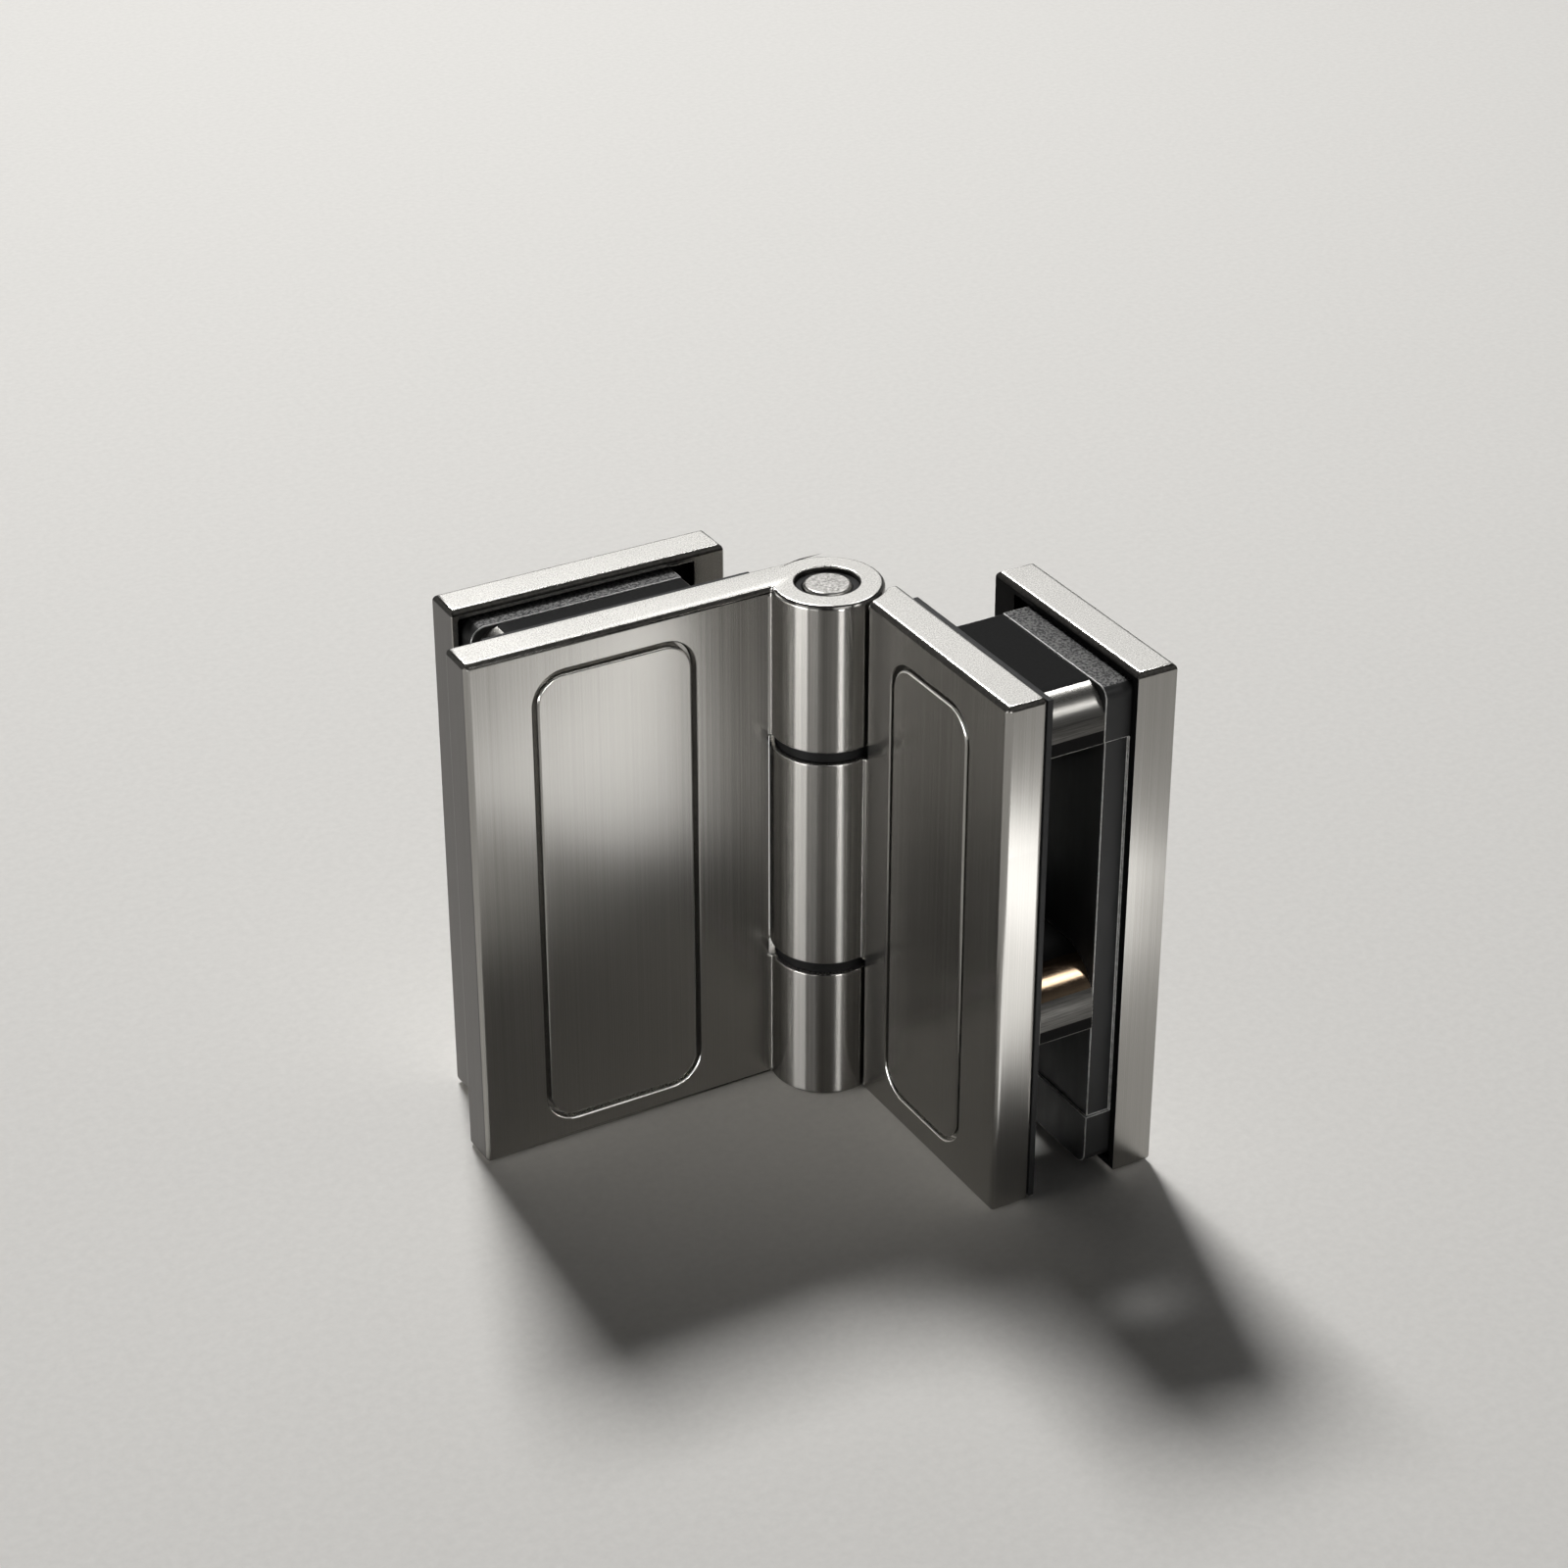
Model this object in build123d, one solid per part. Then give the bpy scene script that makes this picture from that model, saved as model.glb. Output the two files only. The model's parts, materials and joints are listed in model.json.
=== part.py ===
from build123d import *
import os
from dataclasses import dataclass

# Glass-to-glass door hinge, millimetres, +Z up.
# The barrel's axis is Z and its foot is z = 0. The fixed leaf lies along -X with its pane on
# the +Y side. The moving leaf lies along -Y with its pane on the +X side, 90 degrees away.

# Hinge plates
LEAF_HEIGHT = 90.0
PLATE_THICKNESS = 7.0
FIXED_LEAF_LENGTH = 61.0
MOVING_LEAF_LENGTH = 48.8
EDGE_ROUND = 1.0

# Barrel: two end knuckles on the fixed leaf, the middle one on the moving leaf
BARREL_RADIUS = 9.0
BARREL_RIM_BREAK = 0.5
LOWER_KNUCKLE_LENGTH = 23.4
UPPER_KNUCKLE_LENGTH = 25.7
KNUCKLE_GAP = 2.05
NOTCH_CLEARANCE = 0.5
NOTCH_LIP_START = 6.5
CORNER_ROUND = 0.6

# Pin, bushes and thrust washers
PIN_RADIUS = 3.9
PIN_END_BREAK = 0.4
PIN_TOP_RECESS = 0.35
BUSH_WALL = 1.2
BUSH_RUNNING_CLEARANCE = 0.05
BUSH_TOP_RECESS = 0.9
BUSH_FOOT_RECESS = 0.5
WASHER_RADIUS = 8.2
WASHER_THICKNESS = 2.0
WASHER_BORE_CLEARANCE = 0.35

# Inset covers, whose outline shows as a dark line
COVER_THICKNESS = 1.8
COVER_GAP = 0.75
COVER_EDGE_BREAK = 0.25
COVER_CORNER_RADIUS = 5.5
COVER_DROP = 0.5
FIXED_COVER_START = 22.0
FIXED_COVER_WIDTH = 28.0
FIXED_COVER_MARGIN = 4.2
MOVING_COVER_START = 16.0
MOVING_COVER_WIDTH = 22.5
MOVING_COVER_MARGIN = 5.5
CLIP_WIDTH = 7.0
CLIP_HEIGHT = 2.2
CLIP_LENGTH = 2.2
CLIP_SLOT_SPARE = 0.3
CLIP_SPACING = 24.0

# Panes that the two leaves hold, and what lies each side of them
FIXED_PANE = 6.0
MOVING_PANE = 10.0
GASKET_THICKNESS = 1.0
GASKET_EDGE_SETBACK = 0.6
FIXED_PAD_THICKNESS = 3.0
MOVING_PAD_THICKNESS = 4.5

# Clamp plates
CLAMP_THICKNESS = 7.0
FIXED_CLAMP_START = 7.8
FIXED_CLAMP_LENGTH = 47.3
MOVING_CLAMP_START = 9.9
MOVING_CLAMP_LENGTH = 39.3
LAND_WIDTH = 5.5
POCKET_DEPTH = 1.3
POCKET_CLEARANCE = 0.4

# Rear pads, with a thicker head at each end
PAD_INSET = 3.7
PAD_END_MARGIN = 2.1
PAD_HEAD_HEIGHT = 9.1
PAD_PANEL_RECESS = 0.4
FIXED_PAD_REACH_MARGIN = 1.7
MOVING_PAD_REACH_MARGIN = 1.6
FIXED_PAD_NOSE = 2.6
MOVING_PAD_NOSE = 2.0

# Bars that locate the pane, each on a tenon pressed into the clamp plate
BAR_TOP_MARGIN = 2.3
UPPER_BAR_HEIGHT = 8.9
UPPER_BAR_NOSE = 5.8
LOWER_BAR_TOP = 40.5
LOWER_BAR_HEIGHT = 12.5
LOWER_BAR_NOSE = 8.6
BAR_FRONT_CLEARANCE = 0.2
BAR_EDGE_BREAK = 0.25
TENON_HEIGHT = 3.5
TENON_GRIP = 2.8
TENON_INSET = 6.0
TENON_PAD_CLEARANCE = 0.3
MORTISE_SPARE = 0.3

# Clamp screws under the covers, in plastic sleeves
SCREW_MARGIN = 20.0
SCREW_RADIUS = 2.5
SCREW_HOLE_CLEARANCE = 0.25
SCREW_GRIP = 4.2
SCREW_HOLE_SPARE = 0.4
HEAD_RADIUS = 4.25
HEAD_HEIGHT = 2.9
HEAD_SIDE_CLEARANCE = 0.35
HEAD_COVER_CLEARANCE = 0.3
HEX_ACROSS_FLATS = 3.0
HEX_DEPTH = 1.6
SLEEVE_WALL = 1.4
SLEEVE_PAD_REACH = 1.0
SLEEVE_SIDE_CLEARANCE = 0.2

# Places that follow from the sizes above
plate_front = BARREL_RADIUS - PLATE_THICKNESS
plate_back = BARREL_RADIUS
gasket_face = plate_back + GASKET_THICKNESS
notch_radius = BARREL_RADIUS + NOTCH_CLEARANCE
lower_knuckle_top = LOWER_KNUCKLE_LENGTH
upper_knuckle_foot = LEAF_HEIGHT - UPPER_KNUCKLE_LENGTH
middle_knuckle_foot = lower_knuckle_top + KNUCKLE_GAP
middle_knuckle_top = upper_knuckle_foot - KNUCKLE_GAP
pocket_floor = plate_front + COVER_THICKNESS
head_top = pocket_floor + HEAD_COVER_CLEARANCE
head_seat = head_top + HEAD_HEIGHT
screw_hole_radius = SCREW_RADIUS + SCREW_HOLE_CLEARANCE
sleeve_radius = screw_hole_radius + SLEEVE_WALL
bush_bore = PIN_RADIUS + BUSH_RUNNING_CLEARANCE
bush_radius = bush_bore + BUSH_WALL
pin_top = LEAF_HEIGHT - PIN_TOP_RECESS
upper_bar_top = LEAF_HEIGHT - BAR_TOP_MARGIN
screw_heights = {"lower": SCREW_MARGIN, "upper": LEAF_HEIGHT - SCREW_MARGIN}
clip_heights = (LEAF_HEIGHT / 2 - CLIP_SPACING / 2, LEAF_HEIGHT / 2 + CLIP_SPACING / 2)


@dataclass
class Leaf:
    """Sizes of one leaf. Along is measured from the barrel's axis, depth towards the pane."""

    name: str
    length: float
    cover_start: float
    cover_width: float
    cover_margin: float
    pane: float
    pad_thickness: float
    clamp_start: float
    clamp_length: float
    pad_reach_margin: float
    pad_nose: float

    def __post_init__(self):
        self.screw_along = self.cover_start + self.cover_width / 2
        self.clamp_end = self.clamp_start + self.clamp_length
        self.land_end = self.clamp_start + LAND_WIDTH
        self.pad_start = self.land_end + PAD_INSET
        self.pad_end = self.clamp_end - self.pad_reach_margin
        self.pad_face = gasket_face + self.pane
        self.clamp_face = self.pad_face + self.pad_thickness
        self.pocket_floor = self.clamp_face + POCKET_DEPTH
        self.clamp_back = self.clamp_face + CLAMP_THICKNESS
        self.bars = {
            "lower": (LOWER_BAR_TOP - LOWER_BAR_HEIGHT, LOWER_BAR_TOP, LOWER_BAR_NOSE),
            "upper": (upper_bar_top - UPPER_BAR_HEIGHT, upper_bar_top, UPPER_BAR_NOSE),
        }
        self.tenon = (self.pad_start + TENON_INSET, self.pad_end - TENON_INSET)
        self.cover_foot = self.cover_margin - COVER_DROP
        self.cover_top = LEAF_HEIGHT - self.cover_margin - COVER_DROP

    def bar_seat(self, top):
        """The pad's face behind a bar: a head near the top, the panel below it."""
        on_head = top > LEAF_HEIGHT - PAD_END_MARGIN - PAD_HEAD_HEIGHT
        return self.pad_face if on_head else self.pad_face + PAD_PANEL_RECESS


FIXED = Leaf("fixed", FIXED_LEAF_LENGTH, FIXED_COVER_START, FIXED_COVER_WIDTH,
             FIXED_COVER_MARGIN, FIXED_PANE, FIXED_PAD_THICKNESS, FIXED_CLAMP_START,
             FIXED_CLAMP_LENGTH, FIXED_PAD_REACH_MARGIN, FIXED_PAD_NOSE)
MOVING = Leaf("moving", MOVING_LEAF_LENGTH, MOVING_COVER_START, MOVING_COVER_WIDTH,
              MOVING_COVER_MARGIN, MOVING_PANE, MOVING_PAD_THICKNESS, MOVING_CLAMP_START,
              MOVING_CLAMP_LENGTH, MOVING_PAD_REACH_MARGIN, MOVING_PAD_NOSE)


def block(along, depth, height):
    """A box between two values of each: along the leaf, in depth and in height."""
    return Pos(-along[1], depth[0], height[0]) * Box(
        along[1] - along[0], depth[1] - depth[0], height[1] - height[0],
        align=(Align.MIN, Align.MIN, Align.MIN))


def rod(along, height, depth, radius):
    """A cylinder across the leaf, between two depths."""
    middle = (depth[0] + depth[1]) / 2
    return Pos(-along, middle, height) * Rot(90, 0, 0) * Cylinder(radius, depth[1] - depth[0])


def upright(radius, foot, top):
    """A cylinder on the barrel's axis."""
    return Pos(0, 0, foot) * Cylinder(radius, top - foot, align=(Align.CENTER, Align.CENTER, Align.MIN))


def rounded_slab(along, depth, height, corner):
    """A slab across the leaf whose outline has four equal round corners."""
    width = along[1] - along[0]
    tall = height[1] - height[0]
    plane = Plane(origin=(-(along[0] + along[1]) / 2, depth[0], (height[0] + height[1]) / 2),
                  x_dir=(-1, 0, 0), z_dir=(0, 1, 0))
    return extrude(plane * RectangleRounded(width, tall, corner), depth[1] - depth[0])


def edges_at(part, axis, value):
    """Edges that lie wholly at one value of an axis."""
    return part.edges().filter_by_position(axis, value - 1e-3, value + 1e-3)


def round_edges(*groups):
    """Rounds each group of a block's edges by itself, so that they meet in mitres as milled edges do."""
    body = fillet(groups[0], EDGE_ROUND)
    for group in groups[1:]:
        body &= fillet(group, EDGE_ROUND)
    return body


def clip(leaf, height, depth):
    """The form of a cover's clip or of its slot, centred on a height."""
    along = (leaf.screw_along - CLIP_WIDTH / 2, leaf.screw_along + CLIP_WIDTH / 2)
    return block(along, depth, (height - CLIP_HEIGHT / 2, height + CLIP_HEIGHT / 2))


def corner_fill(foot, top):
    """Fills the corner between the plate's front and a knuckle, up to a hollow round."""
    middle = plate_front - CORNER_ROUND
    reach = ((BARREL_RADIUS + CORNER_ROUND) ** 2 - middle**2) ** 0.5
    touch = middle * BARREL_RADIUS / (BARREL_RADIUS + CORNER_ROUND)
    fill = block((BARREL_RADIUS - 2 * CORNER_ROUND, reach), (touch, plate_front + CORNER_ROUND), (foot, top))
    return fill - Pos(-reach, middle) * upright(CORNER_ROUND, foot, top)


def plate_with_barrel(leaf):
    """The full-height plate, tangent to the back of the barrel, with round rims and end edges."""
    plate = block((0, leaf.length), (plate_front, plate_back), (0, LEAF_HEIGHT))
    end = edges_at(plate, Axis.X, -leaf.length)
    plate = round_edges(plate.edges().filter_by(Axis.X), end.filter_by(Axis.Y), end.filter_by(Axis.Z))
    barrel = upright(BARREL_RADIUS, 0, LEAF_HEIGHT)
    rims = edges_at(barrel, Axis.Z, 0) + edges_at(barrel, Axis.Z, LEAF_HEIGHT)
    return plate + chamfer(rims, BARREL_RIM_BREAK)


def cut_cover_pocket(body, leaf):
    """The cover's pocket, its clips' slots and the counterbored holes for the clamp screws."""
    cover = (leaf.cover_start, leaf.cover_start + leaf.cover_width)
    height = (leaf.cover_foot, leaf.cover_top)
    body -= rounded_slab(cover, (plate_front - 1, pocket_floor), height, COVER_CORNER_RADIUS)
    for z in clip_heights:
        body -= clip(leaf, z, (pocket_floor - 1, pocket_floor + CLIP_LENGTH + CLIP_SLOT_SPARE))
    for z in screw_heights.values():
        body -= rod(leaf.screw_along, z, (plate_front, head_seat), HEAD_RADIUS + HEAD_SIDE_CLEARANCE)
        body -= rod(leaf.screw_along, z, (plate_front, plate_back + 1), screw_hole_radius)
    return body


def knuckle_notch(foot, top):
    """Room for the other leaf's knuckle, cut round it and squared off over its back."""
    return upright(notch_radius, foot, top) + block(
        (-notch_radius, NOTCH_LIP_START), (0, plate_back + 1), (foot, top))


def fixed_leaf():
    body = plate_with_barrel(FIXED)
    body -= knuckle_notch(lower_knuckle_top, upper_knuckle_foot)
    body += corner_fill(EDGE_ROUND, lower_knuckle_top)
    body += corner_fill(upper_knuckle_foot, LEAF_HEIGHT - EDGE_ROUND)
    body -= upright(bush_radius, -1, LEAF_HEIGHT + 1)
    return cut_cover_pocket(body, FIXED)


def moving_leaf():
    body = plate_with_barrel(MOVING)
    body -= knuckle_notch(-1, middle_knuckle_foot)
    body -= knuckle_notch(middle_knuckle_top, LEAF_HEIGHT + 1)
    body += corner_fill(middle_knuckle_foot, middle_knuckle_top)
    body -= upright(PIN_RADIUS, 0, LEAF_HEIGHT)
    return cut_cover_pocket(body, MOVING)


def cover(leaf):
    along = (leaf.cover_start + COVER_GAP, leaf.cover_start + leaf.cover_width - COVER_GAP)
    height = (leaf.cover_foot + COVER_GAP, leaf.cover_top - COVER_GAP)
    body = rounded_slab(along, (plate_front, pocket_floor), height, COVER_CORNER_RADIUS - COVER_GAP)
    body = chamfer(edges_at(body, Axis.Y, plate_front), COVER_EDGE_BREAK)
    for z in clip_heights:
        body += clip(leaf, z, (pocket_floor - 0.5, pocket_floor + CLIP_LENGTH))
    return body


def clamp_plate(leaf):
    """A loose plate with round rims and crisp upright edges, a pad pocket, screw holes and mortises."""
    along = (leaf.clamp_start, leaf.clamp_end)
    body = block(along, (leaf.clamp_face, leaf.clamp_back), (0, LEAF_HEIGHT))
    body = round_edges(body.edges().filter_by(Axis.X), body.edges().filter_by(Axis.Y))
    pocket = (leaf.land_end, leaf.pad_end + POCKET_CLEARANCE)
    margin = PAD_END_MARGIN - POCKET_CLEARANCE
    body -= block(pocket, (leaf.clamp_face - 1, leaf.pocket_floor), (margin, LEAF_HEIGHT - margin))
    for z in screw_heights.values():
        bottom = leaf.pocket_floor + SCREW_GRIP + SCREW_HOLE_SPARE
        body -= rod(leaf.screw_along, z, (leaf.clamp_face, bottom), SCREW_RADIUS)
    for foot, top, _ in leaf.bars.values():
        body -= tenon(leaf, foot, top, (leaf.clamp_face, leaf.pocket_floor + TENON_GRIP + MORTISE_SPARE), 0)
    return body


def tenon(leaf, foot, top, depth, clearance):
    """The form of a bar's tenon, or of the hole round it, halfway up the bar."""
    half = TENON_HEIGHT / 2 + clearance
    middle = (foot + top) / 2
    return block((leaf.tenon[0] - clearance, leaf.tenon[1] + clearance), depth, (middle - half, middle + half))


def cut_pane_holes(body, leaf, depth):
    """Holes in a gasket or pad for the two screw sleeves."""
    for z in screw_heights.values():
        body -= rod(leaf.screw_along, z, depth, sleeve_radius + SLEEVE_SIDE_CLEARANCE)
    return body


def front_gasket(leaf):
    along = (leaf.clamp_start + GASKET_EDGE_SETBACK, leaf.clamp_end - GASKET_EDGE_SETBACK)
    height = (GASKET_EDGE_SETBACK, LEAF_HEIGHT - GASKET_EDGE_SETBACK)
    body = block(along, (plate_back, gasket_face), height)
    return cut_pane_holes(body, leaf, (plate_back, gasket_face))


def rear_pad(leaf):
    """A moulded pad: a recessed panel between two heads, with round nose edges."""
    low, high = PAD_END_MARGIN, LEAF_HEIGHT - PAD_END_MARGIN
    depth = (leaf.pad_face, leaf.pocket_floor)
    body = block((leaf.pad_start, leaf.pad_end), depth, (low, high))
    nose = edges_at(body, Axis.X, -leaf.pad_end).filter_by(Axis.Y)
    body = fillet(nose, leaf.pad_nose)
    middle = (low + PAD_HEAD_HEIGHT, high - PAD_HEAD_HEIGHT)
    recess = leaf.pad_face + PAD_PANEL_RECESS
    body -= block((leaf.pad_start - 1, leaf.pad_end + 1), (leaf.pad_face - 1, recess), middle)
    body -= block((leaf.pad_end - PAD_PANEL_RECESS, leaf.pad_end + 1), (leaf.pad_face - 1, leaf.clamp_face),
                  middle)
    body = cut_pane_holes(body, leaf, (leaf.pad_face - 1, leaf.pocket_floor))
    for foot, top, _ in leaf.bars.values():
        body -= tenon(leaf, foot, top, (leaf.pad_face - 1, leaf.pocket_floor), TENON_PAD_CLEARANCE)
    return body


def bar(leaf, place):
    """A bar across the pane's notch: round nose on top, square foot, a tenon at its back."""
    foot, top, nose_radius = leaf.bars[place]
    seat = leaf.bar_seat(top)
    depth = (gasket_face + BAR_FRONT_CLEARANCE, seat)
    body = block((leaf.pad_start, leaf.pad_end), depth, (foot, top))
    nose = edges_at(body, Axis.X, -leaf.pad_end).filter_by(Axis.Y).sort_by(Axis.Z)[-1]
    body = fillet(nose, nose_radius)
    front_rim = edges_at(body, Axis.Y, depth[0])
    body = chamfer(front_rim, BAR_EDGE_BREAK)
    return body + tenon(leaf, foot, top, (seat - 0.5, leaf.pocket_floor + TENON_GRIP), 0)


def sleeve(leaf, place):
    depth = (plate_back, leaf.pad_face + SLEEVE_PAD_REACH)
    body = rod(leaf.screw_along, screw_heights[place], depth, sleeve_radius)
    return body - rod(leaf.screw_along, screw_heights[place], depth, screw_hole_radius)


def screw(leaf, place):
    """A low-head socket screw from under the cover into the clamp plate."""
    z = screw_heights[place]
    head = rod(leaf.screw_along, z, (head_top, head_seat), HEAD_RADIUS)
    shank = rod(leaf.screw_along, z, (head_seat - 0.5, leaf.pocket_floor + SCREW_GRIP), SCREW_RADIUS)
    plane = Plane(origin=(-leaf.screw_along, head_top, z), x_dir=(1, 0, 0), z_dir=(0, 1, 0))
    socket = extrude(plane * RegularPolygon(HEX_ACROSS_FLATS / 2, 6, major_radius=False), HEX_DEPTH)
    return head + shank - socket


def hinge_pin():
    body = upright(PIN_RADIUS, 0, pin_top)
    ends = edges_at(body, Axis.Z, 0) + edges_at(body, Axis.Z, pin_top)
    return chamfer(ends, PIN_END_BREAK)


def bush(foot, top):
    return upright(bush_radius, foot, top) - upright(bush_bore, foot, top)


def washer(foot):
    top = foot + WASHER_THICKNESS
    return upright(WASHER_RADIUS, foot, top) - upright(PIN_RADIUS + WASHER_BORE_CLEARANCE, foot, top)


def to_moving_side(body):
    """The moving leaf is laid out as the fixed one is, then mirrored across the 45 degree plane."""
    return mirror(body, about=Plane(origin=(0, 0, 0), z_dir=(1, -1, 0)))


def leaf_pieces(leaf, plate):
    pieces = {
        "leaf": plate,
        "cover": cover(leaf),
        "clamp_plate": clamp_plate(leaf),
        "front_gasket": front_gasket(leaf),
        "rear_pad": rear_pad(leaf),
    }
    for place in ("lower", "upper"):
        pieces[f"{place}_bar"] = bar(leaf, place)
        pieces[f"{place}_sleeve"] = sleeve(leaf, place)
        pieces[f"{place}_screw"] = screw(leaf, place)
    return {f"{leaf.name}_{name}": body for name, body in pieces.items()}


nodes = leaf_pieces(FIXED, fixed_leaf())
for node, body in leaf_pieces(MOVING, moving_leaf()).items():
    nodes[node] = to_moving_side(body)
nodes["hinge_pin"] = hinge_pin()
nodes["lower_bush"] = bush(BUSH_FOOT_RECESS, lower_knuckle_top)
nodes["upper_bush"] = bush(upper_knuckle_foot, LEAF_HEIGHT - BUSH_TOP_RECESS)
nodes["lower_washer"] = washer(lower_knuckle_top)
nodes["upper_washer"] = washer(upper_knuckle_foot - WASHER_THICKNESS)

os.makedirs("parts", exist_ok=True)
for node, body in nodes.items():
    export_step(body, f"parts/{node}.step")
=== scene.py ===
import json
import math

import bpy
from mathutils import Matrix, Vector

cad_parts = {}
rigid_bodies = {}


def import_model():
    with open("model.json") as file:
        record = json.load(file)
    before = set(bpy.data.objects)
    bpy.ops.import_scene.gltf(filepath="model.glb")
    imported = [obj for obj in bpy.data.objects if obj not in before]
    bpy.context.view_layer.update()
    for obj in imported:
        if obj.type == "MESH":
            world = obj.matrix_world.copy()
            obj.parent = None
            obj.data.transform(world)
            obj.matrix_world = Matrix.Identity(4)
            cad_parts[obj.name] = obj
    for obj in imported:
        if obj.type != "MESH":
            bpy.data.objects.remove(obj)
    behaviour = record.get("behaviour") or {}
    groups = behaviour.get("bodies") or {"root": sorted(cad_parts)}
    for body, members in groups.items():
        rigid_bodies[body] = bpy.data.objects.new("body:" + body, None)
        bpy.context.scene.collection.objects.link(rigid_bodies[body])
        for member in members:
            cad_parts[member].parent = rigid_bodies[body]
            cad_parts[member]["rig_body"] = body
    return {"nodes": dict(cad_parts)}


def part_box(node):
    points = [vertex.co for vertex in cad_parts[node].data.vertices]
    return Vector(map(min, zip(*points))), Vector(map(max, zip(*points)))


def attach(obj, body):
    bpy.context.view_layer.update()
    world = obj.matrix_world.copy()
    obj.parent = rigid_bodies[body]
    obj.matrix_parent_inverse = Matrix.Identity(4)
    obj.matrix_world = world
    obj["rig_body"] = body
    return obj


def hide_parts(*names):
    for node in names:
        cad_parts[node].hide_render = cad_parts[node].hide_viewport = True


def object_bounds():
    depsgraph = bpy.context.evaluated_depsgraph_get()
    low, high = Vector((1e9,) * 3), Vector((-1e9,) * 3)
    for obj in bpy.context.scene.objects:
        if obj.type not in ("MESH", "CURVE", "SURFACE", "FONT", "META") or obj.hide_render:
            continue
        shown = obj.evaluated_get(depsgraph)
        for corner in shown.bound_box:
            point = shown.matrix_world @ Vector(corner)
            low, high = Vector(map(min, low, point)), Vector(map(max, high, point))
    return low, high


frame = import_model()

# Glass-to-glass door hinge: satin steel clamp leaves on a turned barrel, with rubber pads,
# steel and brass locating bars, and a pin in black plastic bushes.

cad_low, cad_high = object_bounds()
bpy.ops.object.select_all(action="DESELECT")

MM = 0.001

# Camera, from the straight edges of the hinge in the photograph
CAMERA_PLACE = Vector((-0.25879, -0.44225, 0.34773))
CAMERA_AIM = Vector((0.4283, 0.7543, -0.4976))
CAMERA_LENS = 85.13
SENSOR_WIDTH = 36.0

# The point that the lamps look at, the height of the lamps that lie on the floor, and the floor itself,
# which is just below the hinge's foot
MIDDLE = Vector((0, 0, 0.045))
CARD_HEIGHT = 0.002
FLOOR_WIDTH = 8.0
FLOOR_HEIGHT = -0.0002

# Where the sky's colour at the horizon starts to fade and where it is gone, as sines of the angle up
HORIZON_FADE = (0.1, 0.45)

# The values between which noise mostly lies
NOISE_RANGE = (0.3, 0.7)

# The barrel, whose turned surface lies this far from its axis
BARREL_RADIUS = 9.0 * MM
BARREL_SPARE = 0.25 * MM

# Edges as deburring or moulding leaves them
PLATE_EDGE = 0.27 * MM
METAL_EDGE = 0.22 * MM
RUBBER_EDGE = 0.35 * MM
PLASTIC_EDGE = 0.15 * MM
EDGE_STEPS = 3
SHARP_ANGLE = math.radians(35)

# Points nearer than this are one point, and faces flatter than this are one face
MERGE_DISTANCE = 0.001 * MM
FLAT_ANGLE = math.radians(0.5)

# How strongly large faces set the shading at their edges, as a percentage
LARGE_FACE_WEIGHT = 100

# How far the broken upper edges of the plates reach down
RIM_DEPTH = 1.5 * MM

# The heights between which the bars' painted highlight fades into painted shade
HIGHLIGHT_FADE_HEIGHTS = (83.6 * MM, 86.9 * MM)

# Bands round the bars' noses: how far below the bar's top each starts and ends, in millimetres
UPPER_NOSE = (0.2, 6.6)
LOWER_NOSE = (0.8, 5.4)
BELOW_LOWER_NOSE = (5.4, 10.3)

# How far the edges of a cover's recess lie from the cover
GROOVE_REACH = 1.7 * MM

# How near to a box a face lies that counts as part of its outside
BOX_SPARE = 0.3 * MM

# Slopes, as the part of a face's normal along an axis: 1 looks straight along it, 0 stands square to it
LEVEL_SLOPE = 0.92
BARREL_SLOPE = 0.8
PIN_END_SLOPE = 0.5
FACING_SLOPE = 0.9
TOP_RIM_SLOPES = (0.15, 0.93)
GLINT_SLOPES = (0.25, 0.97)
GLINT_LEAN = 0.15


def srgb(hex_colour):
    """A linear colour from an sRGB hex value."""
    values = [int(hex_colour[i:i + 2], 16) / 255 for i in (1, 3, 5)]
    return tuple(v / 12.92 if v <= 0.04045 else ((v + 0.055) / 1.055) ** 2.4 for v in values) + (1.0,)


def node(tree, kind, settings=None, **links):
    """Adds one node. Settings are attributes or input values, links join inputs to outputs.

    A link's name is its input's name, or an underscore and its input's number.
    """
    made = tree.nodes.new(kind)
    for name, value in (settings or {}).items():
        if isinstance(name, int) or name in made.inputs:
            made.inputs[name].default_value = value
        else:
            setattr(made, name, value)
    for name, output in links.items():
        key = int(name[1:]) if name[1:].isdigit() else name.replace("_", " ")
        tree.links.new(output, made.inputs[key])
    return made


def new_material(name, **shader):
    """A material with its Principled shader's own values, its tree and its object coordinates."""
    material = bpy.data.materials.new(name)
    material.use_nodes = True
    tree = material.node_tree
    surface = tree.nodes["Principled BSDF"]
    for key, value in shader.items():
        surface.inputs[key.replace("_", " ")].default_value = value
    place = node(tree, "ShaderNodeTexCoord").outputs["Object"]
    return material, tree, surface, place


def grain(tree, place, size_mm, detail=3.0, roughness=0.6):
    """Noise whose features are size_mm across, given as three lengths."""
    scale = tuple(1 / (s * MM) for s in size_mm)
    mapped = node(tree, "ShaderNodeMapping", {"Scale": scale}, Vector=place).outputs["Vector"]
    return node(tree, "ShaderNodeTexNoise", {"Scale": 1.0, "Detail": detail, "Roughness": roughness},
                Vector=mapped).outputs["Fac"]


def spread(tree, value, low, high, source=NOISE_RANGE):
    """A value from source's range taken to low and high."""
    return node(tree, "ShaderNodeMapRange",
                {"From Min": source[0], "From Max": source[1], "To Min": low, "To Max": high},
                Value=value).outputs["Result"]


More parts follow.
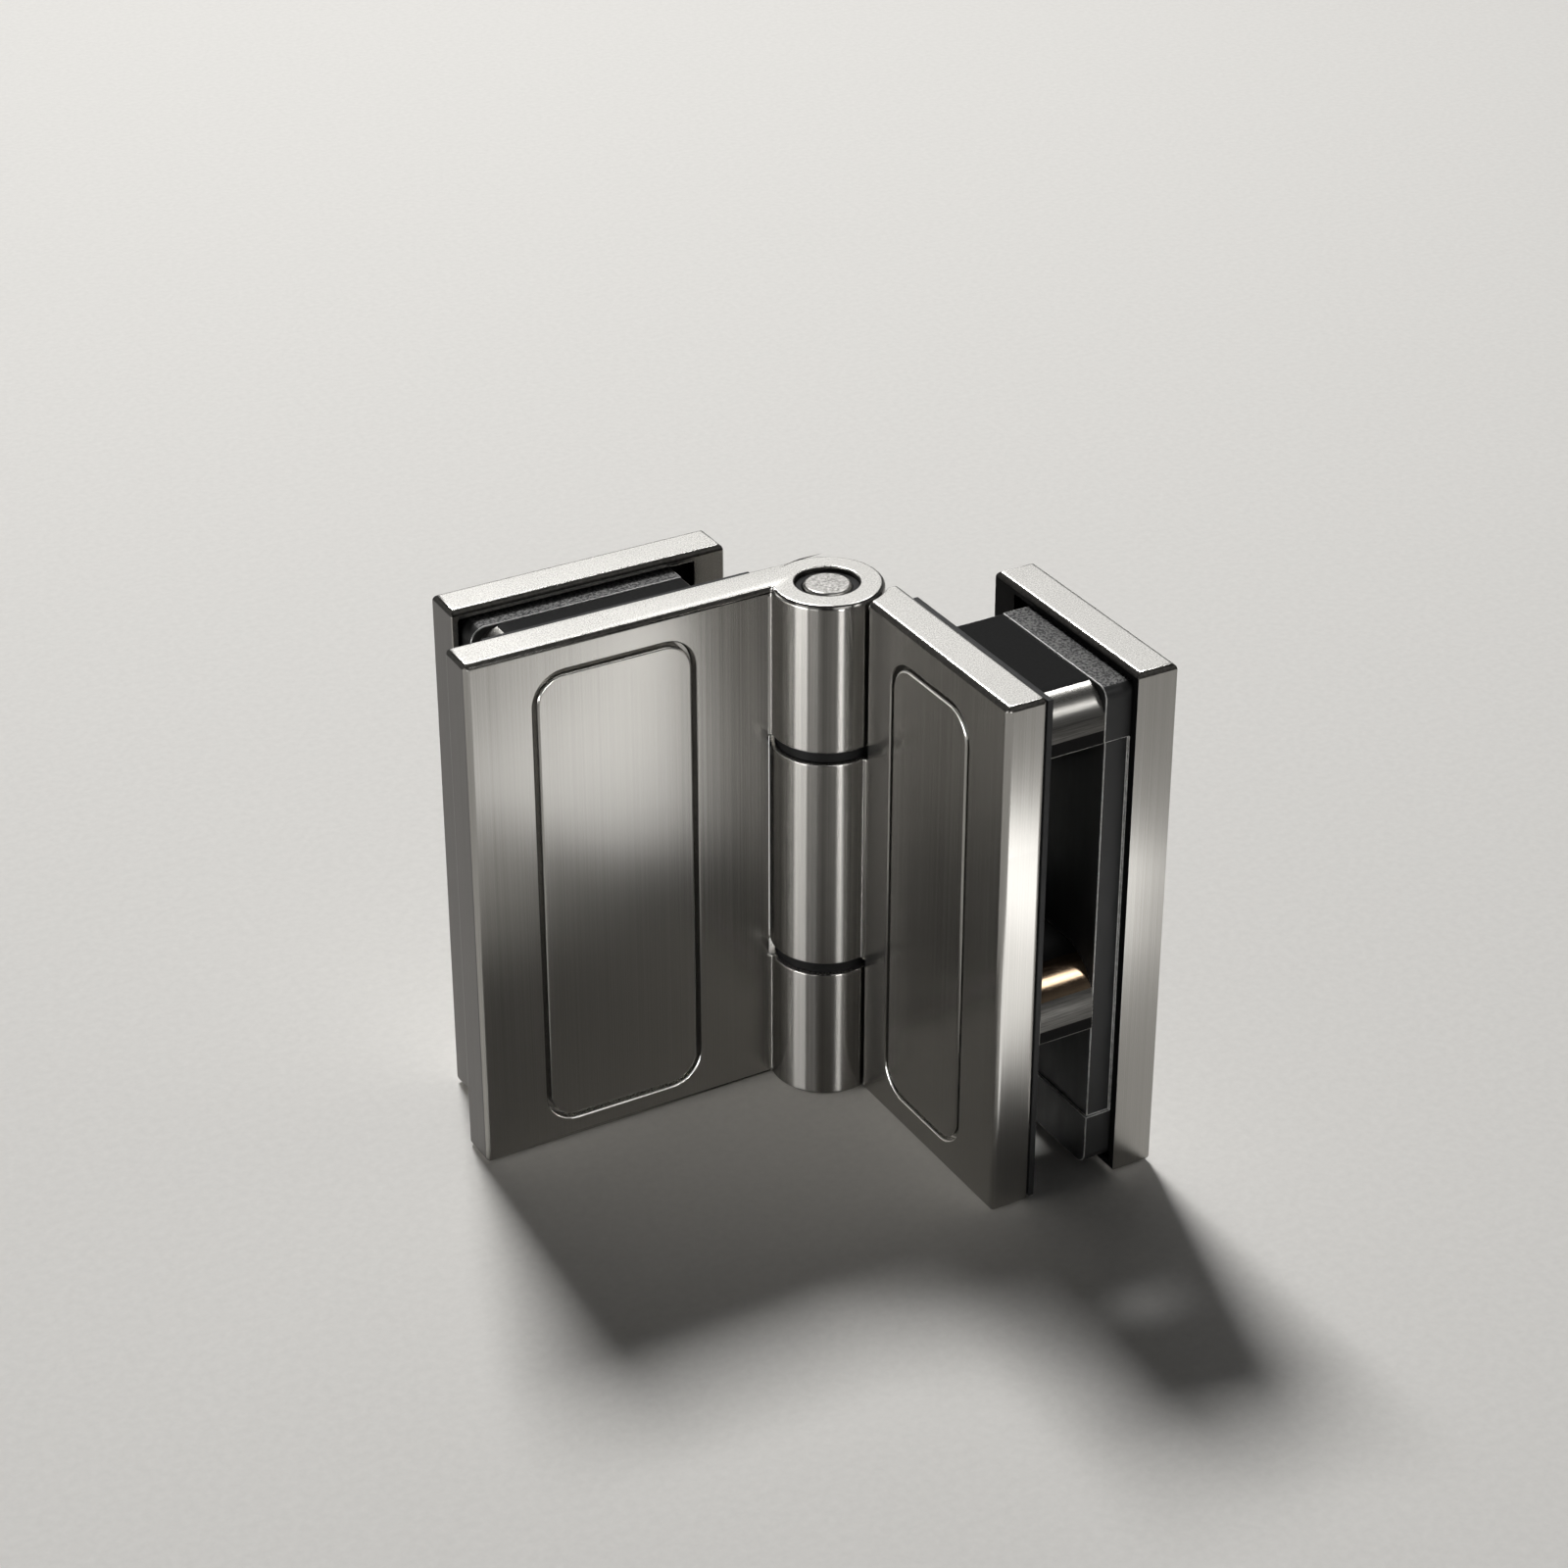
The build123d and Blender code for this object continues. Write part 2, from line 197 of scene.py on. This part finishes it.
def blend_values(tree, first, second, share):
    """first and second added with the given share of the second."""
    part = node(tree, "ShaderNodeMath", {"operation": "MULTIPLY", 1: share}, _0=second).outputs[0]
    return node(tree, "ShaderNodeMath", {"operation": "MULTIPLY_ADD", 1: 1 - share}, _0=first,
                _2=part).outputs[0]


def blend_colours(tree, colours, share):
    """The first colour taken to the second as the share goes from 0 to 1."""
    return node(tree, "ShaderNodeMix", {"data_type": "RGBA", 6: srgb(colours[0]), 7: srgb(colours[1])},
                _0=share).outputs[2]


def finish_surface(tree, surface, level, height, colours, roughness, relief_mm):
    """Colour and roughness follow a level, and bump follows a height."""
    tree.links.new(blend_colours(tree, colours, spread(tree, level, 0.0, 1.0)), surface.inputs["Base Color"])
    tree.links.new(spread(tree, level, *roughness), surface.inputs["Roughness"])
    bump = node(tree, "ShaderNodeBump", {"Strength": 1.0, "Distance": relief_mm * MM}, Height=height)
    tree.links.new(bump.outputs["Normal"], surface.inputs["Normal"])


# Scuffs, cuts, moulded skins and paper fibres are drawn coarser than real ones too, or they would not show


def brushed_steel():
    """Stainless steel with an upright satin brush: hairlines that draw the light out sideways.

    The hairlines are drawn coarser than real ones, 0.2 mm wide, or they would not show.
    """
    material, tree, surface, place = new_material("brushed_stainless_steel", Metallic=1.0, Anisotropic=0.55)
    hairline = grain(tree, place, size_mm=(0.2, 0.2, 160), detail=2.0)
    cloud = grain(tree, place, size_mm=(9, 9, 60), detail=2.0)
    level = blend_values(tree, hairline, cloud, share=0.15)
    finish_surface(tree, surface, level, height=hairline, colours=("#979591", "#a6a4a0"),
                   roughness=(0.212, 0.27), relief_mm=0.0017)
    facing = node(tree, "ShaderNodeNewGeometry").outputs["Normal"]
    across = node(tree, "ShaderNodeVectorMath", {"operation": "CROSS_PRODUCT", 1: (0.0, 0.0, 1.0)},
                  _0=facing).outputs["Vector"]
    tree.links.new(across, surface.inputs["Tangent"])
    return material


def turned_steel():
    """Stainless steel turned on a lathe: rings too fine to see draw the light into upright bands.

    The rings themselves are left to the anisotropy. Only the faint upright streaks are drawn.
    """
    material, tree, surface, place = new_material("turned_stainless_steel", Metallic=1.0, Anisotropic=1.0)
    streak = grain(tree, place, size_mm=(0.8, 0.8, 200), detail=2.0)
    finish_surface(tree, surface, streak, height=streak, colours=("#73716e", "#8a8884"),
                   roughness=(0.245, 0.25), relief_mm=0.00002)
    along = node(tree, "ShaderNodeCombineXYZ", {"Z": 1.0}).outputs["Vector"]
    tree.links.new(along, surface.inputs["Tangent"])
    return material


def painted_shade_end_steel():
    """The fixed side's end faces, dull and darker than the brushed fronts: the darker tone is painted shade.

    The streaks are drawn coarser than real ones, 0.3 mm wide, or they would not show.
    """
    material, tree, surface, place = new_material("painted_shade_end_stainless_steel", Metallic=1.0)
    end_streak = grain(tree, place, size_mm=(0.3, 0.3, 60))
    finish_surface(tree, surface, end_streak, height=end_streak, colours=("#5b5957", "#6b6967"),
                   roughness=(0.34, 0.42), relief_mm=0.003)
    return material


def ground_steel():
    """Stainless steel ground on its ends: a fine even grit that stays bright and soft.

    The grit marks are drawn coarser than real ones, 0.22 mm across, or they would not show.
    """
    material, tree, surface, place = new_material("ground_stainless_steel", Metallic=1.0)
    grit = grain(tree, place, size_mm=(0.22, 0.22, 0.22), detail=4.0)
    cloud = grain(tree, place, size_mm=(14, 14, 14), detail=2.0)
    level = blend_values(tree, grit, cloud, share=0.1)
    finish_surface(tree, surface, level, height=grit, colours=("#bab8b4", "#d4d2cd"),
                   roughness=(0.22, 0.33), relief_mm=0.01)
    return material


def painted_shade_edge_steel():
    """The broken upper edges of the plates: dull, and painted dark beside the bright faces they part, as
    painted shade.
    """
    material, tree, surface, place = new_material("painted_shade_steel_edge", Metallic=1.0)
    scuff = grain(tree, place, size_mm=(0.5, 0.5, 0.5))
    finish_surface(tree, surface, scuff, height=scuff, colours=("#2b2a28", "#43413e"),
                   roughness=(0.4, 0.5), relief_mm=0.004)
    return material


def painted_glint_steel():
    """Pale edges round the covers: a painted highlight, just rough enough to glint from most sides."""
    material, tree, surface, place = new_material("painted_highlight_steel_edge", Metallic=1.0)
    cut = grain(tree, place, size_mm=(0.5, 0.5, 0.5))
    finish_surface(tree, surface, cut, height=cut, colours=("#dcdad5", "#edebe6"),
                   roughness=(0.34, 0.42), relief_mm=0.002)
    return material


def blasted_steel():
    """Steel blasted with coarse grit: a matt grey with bright and dark pits.

    The pits are drawn coarser than real ones, 0.42 mm across, or they would not show.
    """
    material, tree, surface, place = new_material("blasted_steel", Metallic=1.0)
    pit = grain(tree, place, size_mm=(0.42, 0.42, 0.42), detail=4.0, roughness=0.7)
    finish_surface(tree, surface, pit, height=pit, colours=("#4a4947", "#b4b2ae"),
                   roughness=(0.36, 0.55), relief_mm=0.06)
    return material


def polished_steel():
    """Bar steel, ground and polished: a bright clean edge with soft round highlights.

    The drawing lines are drawn coarser than real ones, 0.2 mm apart, or they would not show.
    """
    material, tree, surface, place = new_material("polished_bar_steel", Metallic=1.0)
    draw = grain(tree, place, size_mm=(6, 6, 0.2))
    finish_surface(tree, surface, draw, height=draw, colours=("#8e8c88", "#a19f9b"),
                   roughness=(0.24, 0.32), relief_mm=0.002)
    return material


def painted_light_bar_steel():
    """Bar steel painted pale towards the top and smoky grey below: a painted highlight fading into painted
    shade.

    Its drawing lines are as coarse as those of the polished bar steel, for the same reason.
    """
    material, tree, surface, place = new_material("bar_steel_painted_light", Metallic=1.0)
    draw = grain(tree, place, size_mm=(6, 6, 0.2))
    height = node(tree, "ShaderNodeSeparateXYZ", Vector=place).outputs["Z"]
    painted_highlight_share = spread(tree, height, *NOISE_RANGE, source=HIGHLIGHT_FADE_HEIGHTS)
    level = blend_values(tree, painted_highlight_share, draw, share=0.15)
    finish_surface(tree, surface, level, height=draw, colours=("#3a3937", "#a6a49f"),
                   roughness=(0.36, 0.26), relief_mm=0.002)
    return material


def painted_shade_black_steel():
    """Near-black steel with a low, even sheen: painted shade in the clamp plates' pockets, on the moving
    clamp's side to the pane and on the bars' bodies.
    """
    material, tree, surface, place = new_material("painted_shade_black_steel", Specular_IOR_Level=0.05)
    skin = grain(tree, place, size_mm=(0.4, 0.4, 0.4), detail=4.0)
    finish_surface(tree, surface, skin, height=skin, colours=("#040404", "#0c0c0b"),
                   roughness=(0.45, 0.6), relief_mm=0.008)
    return material


def zinc_plated_steel():
    """Screw steel with a thin dull zinc coat, slightly blotched."""
    material, tree, surface, place = new_material("zinc_plated_steel", Metallic=1.0)
    blotch = grain(tree, place, size_mm=(0.9, 0.9, 0.9), detail=4.0)
    finish_surface(tree, surface, blotch, height=blotch, colours=("#9a9c9c", "#b4b6b5"),
                   roughness=(0.28, 0.42), relief_mm=0.004)
    return material


def turned_brass():
    """Turned brass that has browned a little with handling.

    The turning rings are drawn coarser than real ones, 0.18 mm apart, or they would not show.
    """
    material, tree, surface, place = new_material("turned_brass", Metallic=1.0)
    ring = grain(tree, place, size_mm=(8, 8, 0.18))
    stain = grain(tree, place, size_mm=(2.4, 2.4, 2.4), detail=4.0)
    level = blend_values(tree, ring, stain, share=0.4)
    finish_surface(tree, surface, level, height=ring, colours=("#71604f", "#98846d"),
                   roughness=(0.13, 0.2), relief_mm=0.003)
    return material


def black_acetal():
    """Moulded black acetal, waxy, with a faint mould texture."""
    material, tree, surface, place = new_material("moulded_black_acetal", Specular_IOR_Level=0.15)
    skin = grain(tree, place, size_mm=(0.35, 0.35, 0.35))
    finish_surface(tree, surface, skin, height=skin, colours=("#040404", "#0a0a0a"),
                   roughness=(0.45, 0.55), relief_mm=0.006)
    return material


def gasket_rubber():
    """Sheet rubber, cut to size: matt black with a faint bloom."""
    material, tree, surface, place = new_material("black_sheet_rubber", Specular_IOR_Level=0.25)
    bloom = grain(tree, place, size_mm=(3.5, 3.5, 3.5), detail=4.0)
    skin = grain(tree, place, size_mm=(0.3, 0.3, 0.3))
    finish_surface(tree, surface, bloom, height=skin, colours=("#0b0b0c", "#151516"),
                   roughness=(0.5, 0.65), relief_mm=0.01)
    return material


def speckled_rubber():
    """The pads' open ends, moulded rubber filled with mineral: dark grey with a fine pale speckle, painted
    lighter than the sides as if lit.

    The specks are drawn coarser than real ones, 0.42 mm across, or they would not show.
    """
    material, tree, surface, place = new_material("speckled_grey_rubber", Specular_IOR_Level=0.4)
    speck = grain(tree, place, size_mm=(0.42, 0.42, 0.42), detail=2.0, roughness=0.8)
    fleck = spread(tree, speck, 0.0, 1.0, source=(0.36, 0.64))
    finish_surface(tree, surface, fleck, height=speck, colours=("#0a0a0a", "#696866"),
                   roughness=(0.75, 0.3), relief_mm=0.09)
    return material


def painted_shade_rubber():
    """The pads' upright faces, smooth and painted nearly black: painted shade beside the lighter tops."""
    material, tree, surface, place = new_material("painted_shade_black_rubber", Specular_IOR_Level=0.3)
    bloom = grain(tree, place, size_mm=(2.5, 2.5, 9))
    finish_surface(tree, surface, bloom, height=bloom, colours=("#0b0b0b", "#1d1d1c"),
                   roughness=(0.42, 0.6), relief_mm=0.02)
    return material


def painted_highlight_rubber():
    """The pads' edges, smooth and painted pale: a painted highlight along the rims."""
    material, tree, surface, place = new_material("painted_highlight_rubber_rim", Specular_IOR_Level=1.0)
    rim_grain = grain(tree, place, size_mm=(0.8, 0.8, 0.8), detail=4.0)
    finish_surface(tree, surface, rim_grain, height=rim_grain, colours=("#c4c4c2", "#e6e5e2"),
                   roughness=(0.2, 0.35), relief_mm=0.01)
    return material


BRUSHED = brushed_steel()
TURNED = turned_steel()
GROUND = ground_steel()
# Painted shade: the fixed side's darker end faces
PAINTED_SHADE_END = painted_shade_end_steel()
# Painted shade: the near-black broken upper edges of the plates
PAINTED_SHADE_EDGE = painted_shade_edge_steel()
# Painted highlight: the pale edges that look up and out round the covers
PAINTED_GLINT = painted_glint_steel()
BLASTED = blasted_steel()
POLISHED = polished_steel()
# Painted highlight fading into painted shade, round the upper bars' noses and below the brass
PAINTED_LIGHT_BAR = painted_light_bar_steel()
# Painted shade: near black in the clamp pockets, on the moving clamp's side to the pane and on the bars'
# bodies
PAINTED_SHADE_BLACK = painted_shade_black_steel()
ZINC = zinc_plated_steel()
BRASS = turned_brass()
ACETAL = black_acetal()
GASKET = gasket_rubber()
# Painted shade on the pads' upright faces, and painted light on their tops
PAD = painted_shade_rubber()
PAD_END = speckled_rubber()
# Painted highlight on the pads' edges
PAD_RIM = painted_highlight_rubber()


def looks_up_or_down(face):
    return abs(face.normal.z) > LEVEL_SLOPE


def lies_on_barrel(face):
    reach = math.hypot(face.center.x, face.center.y)
    return abs(reach - BARREL_RADIUS) < BARREL_SPARE and abs(face.normal.z) < BARREL_SLOPE


def top_rim(face):
    """Whether a face is a broken upper edge of a plate, away from the barrel."""
    reach = math.hypot(face.center.x, face.center.y)
    beyond_barrel = reach > BARREL_RADIUS + BARREL_SPARE
    sloping = TOP_RIM_SLOPES[0] < face.normal.z < TOP_RIM_SLOPES[1]
    return beyond_barrel and sloping and face.center.z > cad_high.z - RIM_DEPTH


def pin_end(face):
    return abs(face.normal.z) > PIN_END_SLOPE


def between(low, high):
    """A test for the faces between two heights."""
    return lambda face: low < face.center.z < high


def in_pocket(name):
    """A test for the faces of a clamp plate that don't lie on its box, such as its pocket's."""
    low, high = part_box(name)

    def test(face):
        return all(low[i] + BOX_SPARE < face.center[i] < high[i] - BOX_SPARE for i in range(3))
    return test


def on_low_side(name, axis):
    """A test for the faces on a plate's low side along an axis: its far end, or its side to the pane."""
    low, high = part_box(name)
    return lambda face: face.center[axis] < low[axis] + BOX_SPARE and face.normal[axis] < -FACING_SLOPE


def groove_glint(cover, axis):
    """A test for the broken edges that look up and out, on a cover and round it: those that get the painted
    highlight.
    """
    low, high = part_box(cover)

    def test(face):
        near = all(low[i] - GROOVE_REACH < face.center[i] < high[i] + GROOVE_REACH for i in range(3))
        sloping = GLINT_SLOPES[0] < face.normal.z < GLINT_SLOPES[1]
        return near and sloping and face.normal[axis] < -GLINT_LEAN
    return test


def apply_modifier(piece, kind, **settings):
    """Adds a modifier to the piece and applies it."""
    bpy.context.view_layer.objects.active = piece
    modifier = piece.modifiers.new(kind.lower(), kind)
    for name, value in settings.items():
        setattr(modifier, name, value)
    bpy.ops.object.modifier_apply(modifier=modifier.name)


def paint(piece, areas, first_slot):
    """Gives each face the material of the first area whose test it passes."""
    for face in piece.data.polygons:
        slots = [first_slot + i for i, (test, _) in enumerate(areas) if test(face)]
        if slots:
            face.material_index = slots[0]


def keep_inside(piece, low, high):
    """Presses back any point that a broken edge has pushed out of the node's box."""
    for point in piece.data.vertices:
        point.co = [min(max(value, low[i]), high[i]) for i, value in enumerate(point.co)]


def deburred(name, edge, material, *areas, rim=None, last_areas=(), partings=(), clamped=True):
    """Stands for a CAD node with its sharp edges broken.

    Areas are pairs of a face test and a material. Rim is a material for the broken edges alone, last
    areas are found after the edges are broken, and partings are heights at which the faces are split.
    Where it is clamped, its shortest edges limit how wide all its edges are broken.
    """
    source = frame["nodes"][name]
    piece = bpy.data.objects.new(f"{name}_finished", source.data.copy())
    bpy.context.scene.collection.objects.link(piece)
    bpy.ops.object.select_all(action="DESELECT")
    piece.select_set(True)
    bpy.context.view_layer.objects.active = piece
    bpy.ops.object.mode_set(mode="EDIT")
    bpy.ops.mesh.select_all(action="SELECT")
    bpy.ops.mesh.remove_doubles(threshold=MERGE_DISTANCE)
    bpy.ops.mesh.dissolve_limited(angle_limit=FLAT_ANGLE)
    for height in partings:
        bpy.ops.mesh.select_all(action="SELECT")
        bpy.ops.mesh.bisect(plane_co=(0, 0, height), plane_no=(0, 0, 1))
    bpy.ops.object.mode_set(mode="OBJECT")
    bpy.ops.mesh.customdata_custom_splitnormals_clear()
    bpy.ops.object.shade_smooth()
    finishes = [material] + [other for _, other in (*areas, *last_areas)] + ([rim] if rim else [])
    piece.data.materials.clear()
    for finish in finishes:
        piece.data.materials.append(finish)
    for face in piece.data.polygons:
        face.material_index = 0
    paint(piece, areas, 1)
    apply_modifier(piece, "BEVEL", width=edge, segments=EDGE_STEPS, limit_method="ANGLE",
                   angle_limit=SHARP_ANGLE, miter_outer="MITER_ARC", use_clamp_overlap=clamped,
                   material=len(finishes) - 1 if rim else -1)
    keep_inside(piece, *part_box(name))
    paint(piece, last_areas, 1 + len(areas))
    apply_modifier(piece, "WEIGHTED_NORMAL", keep_sharp=True, weight=LARGE_FACE_WEIGHT)
    piece.select_set(False)
    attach(piece, source["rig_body"])
    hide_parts(name)


def banded_bar(name, *bands):
    """A locating bar, painted near black all over as shade but for bands round its nose, each with its
    material.
    """
    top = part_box(name)[1][2]
    heights = sorted({top - depth * MM for band, _ in bands for depth in band})
    areas = [(between(top - end * MM, top - start * MM), material) for (start, end), material in bands]
    deburred(name, METAL_EDGE, PAINTED_SHADE_BLACK, *areas, rim=POLISHED, partings=heights)


# Each side's axis from its front to the pane, the finish of its clamp plate's side to the pane,
# and that of its far ends. The moving clamp's side to the pane is painted near black and the fixed far ends
# darker, both as painted shade
DEPTH_AXIS = {"fixed": 1, "moving": 0}
LAND = {"fixed": BRUSHED, "moving": PAINTED_SHADE_BLACK}
END_FACE = {"fixed": PAINTED_SHADE_END, "moving": BRUSHED}

for side in ("fixed", "moving"):
    depth = DEPTH_AXIS[side]
    length = 1 - depth
    leaf = f"{side}_leaf"
    cover = f"{side}_cover"
    clamp = f"{side}_clamp_plate"
    glint = (groove_glint(cover, depth), PAINTED_GLINT)
    # Clamped, the leaf's shortest edges would leave next to nothing of its broken edges
    deburred(leaf, PLATE_EDGE, BRUSHED, (lies_on_barrel, TURNED), (looks_up_or_down, GROUND),
             (on_low_side(leaf, length), END_FACE[side]), last_areas=[(top_rim, PAINTED_SHADE_EDGE), glint],
             clamped=False)
    deburred(cover, METAL_EDGE, BRUSHED, last_areas=[glint] if side == "moving" else [])
    # The clamp plate's pocket, and the moving one's side to the pane, are painted near black as shade
    deburred(clamp, PLATE_EDGE, BRUSHED, (in_pocket(clamp), PAINTED_SHADE_BLACK),
             (on_low_side(clamp, depth), LAND[side]), (looks_up_or_down, GROUND),
             (on_low_side(clamp, length), END_FACE[side]), last_areas=[(top_rim, PAINTED_SHADE_EDGE)])
    deburred(f"{side}_front_gasket", PLASTIC_EDGE, GASKET)
    deburred(f"{side}_rear_pad", RUBBER_EDGE, PAD, (looks_up_or_down, PAD_END), rim=PAD_RIM)
    # The bars' bodies are painted shade, and their nose bands carry painted highlight and shade, the brass
    # apart
    banded_bar(f"{side}_upper_bar", (UPPER_NOSE, PAINTED_LIGHT_BAR))
    banded_bar(f"{side}_lower_bar", (LOWER_NOSE, BRASS), (BELOW_LOWER_NOSE, PAINTED_LIGHT_BAR))
    for place in ("lower", "upper"):
        deburred(f"{side}_{place}_sleeve", PLASTIC_EDGE, ACETAL)
        deburred(f"{side}_{place}_screw", METAL_EDGE, ZINC)
deburred("hinge_pin", METAL_EDGE, POLISHED, (pin_end, BLASTED), rim=POLISHED)
for name in ("lower_bush", "upper_bush", "lower_washer", "upper_washer"):
    deburred(name, PLASTIC_EDGE, ACETAL)


def add_camera():
    data = bpy.data.cameras.new("camera")
    data.lens = CAMERA_LENS
    data.sensor_width = SENSOR_WIDTH
    camera = bpy.data.objects.new("camera", data)
    camera.location = CAMERA_PLACE
    camera.rotation_euler = CAMERA_AIM.to_track_quat("-Z", "Y").to_euler()
    bpy.context.scene.collection.objects.link(camera)
    bpy.context.scene.camera = camera


def area_lamp(name, size, power, lights_floor):
    """A rectangular lamp out of the camera's sight. Where it doesn't light the floor, only gloss shows it."""
    data = bpy.data.lights.new(name, "AREA")
    data.shape = "RECTANGLE"
    data.size, data.size_y = size
    data.energy = power
    lamp = bpy.data.objects.new(name, data)
    lamp.visible_camera = False
    lamp.visible_diffuse = lights_floor
    bpy.context.scene.collection.objects.link(lamp)
    return lamp


def add_softbox(name, azimuth, elevation, distance, size, power, lights_floor=True, beam=180):
    """A lamp that looks at the middle of the hinge. Its angles and its beam are in degrees."""
    lamp = area_lamp(name, size, power, lights_floor)
    lamp.data.spread = math.radians(beam)
    turn, rise = math.radians(azimuth), math.radians(elevation)
    way = Vector((math.cos(turn) * math.cos(rise), math.sin(turn) * math.cos(rise), math.sin(rise)))
    lamp.location = MIDDLE + distance * way
    lamp.rotation_euler = (-way).to_track_quat("-Z", "Y").to_euler()


def add_card(name, place, size, power):
    """A small lamp that lies on the floor before the hinge and looks up, in line with the camera."""
    lamp = area_lamp(name, size, power, lights_floor=False)
    lamp.location = (*place, CARD_HEIGHT)
    lamp.rotation_euler = (math.pi, 0, math.atan2(CAMERA_AIM.y, CAMERA_AIM.x))


def add_floor():
    """Pale matt paper, which has no sheen of its own."""
    material, tree, surface, place = new_material("pale_paper_floor", Specular_IOR_Level=0.0)
    fibre = grain(tree, place, size_mm=(1.5, 1.5, 1.5), detail=4.0)
    finish_surface(tree, surface, fibre, height=fibre, colours=("#e0deda", "#e6e4e0"),
                   roughness=(0.75, 0.85), relief_mm=0.01)
    bpy.ops.mesh.primitive_plane_add(size=FLOOR_WIDTH, location=(0, 0, FLOOR_HEIGHT))
    floor = bpy.context.active_object
    floor.name = "floor"
    floor.data.materials.append(material)


def add_sky():
    """The studio's walls: grey at the horizon and darker above it."""
    world = bpy.data.worlds.new("studio")
    bpy.context.scene.world = world
    world.use_nodes = True
    tree = world.node_tree
    way = node(tree, "ShaderNodeTexCoord").outputs["Generated"]
    rise = node(tree, "ShaderNodeSeparateXYZ", Vector=way).outputs["Z"]
    wall = blend_colours(tree, ("#7c7c7c", "#2a2a2a"), spread(tree, rise, 0.0, 1.0, source=HORIZON_FADE))
    tree.links.new(wall, tree.nodes["Background"].inputs["Color"])


def add_lamps():
    """A soft key and a weaker lamp from behind, and lamps that only the gloss shows."""
    add_softbox("key", azimuth=80, elevation=54, distance=2.03, size=(0.43, 0.43), power=16.0, beam=120)
    # Mirrored in the top faces
    add_softbox("back", azimuth=60, elevation=30, distance=1.3, size=(0.8, 0.4), power=1.1)
    # Mirrored in the noses of the upper and lower bars
    add_softbox("nose", azimuth=27, elevation=54, distance=1.16, size=(0.12, 0.4), power=2.8,
                lights_floor=False)
    add_softbox("brass", azimuth=306, elevation=37, distance=0.9, size=(0.12, 0.22), power=0.9,
                lights_floor=False)
    # Mirrored in the broken edges round the moving cover, and round the fixed one
    add_softbox("groove", azimuth=127, elevation=20, distance=0.9, size=(0.3, 0.2), power=0.6,
                lights_floor=False)
    add_softbox("glint", azimuth=275, elevation=50, distance=0.9, size=(0.4, 0.2), power=1.2,
                lights_floor=False)
    # Drawn into upright bands by the turned barrel
    add_softbox("barrel_left", azimuth=190, elevation=1.6, distance=0.9, size=(0.4, 0.13), power=8.6,
                lights_floor=False)
    add_softbox("barrel_middle", azimuth=216, elevation=1.6, distance=0.9, size=(0.26, 0.13), power=1.0,
                lights_floor=False)
    add_softbox("barrel_right", azimuth=267, elevation=1.6, distance=0.9, size=(0.14, 0.13), power=3.6,
                lights_floor=False)
    # Mirrored in the upper half of the left plate and in the right end faces
    add_card("plate_card", place=(0.024, -0.108), size=(0.046, 0.078), power=0.02)
    add_card("end_card", place=(0.058, -0.136), size=(0.045, 0.034), power=0.017)


add_camera()
add_floor()
add_sky()
add_lamps()
bpy.context.scene.view_settings.view_transform = "Standard"
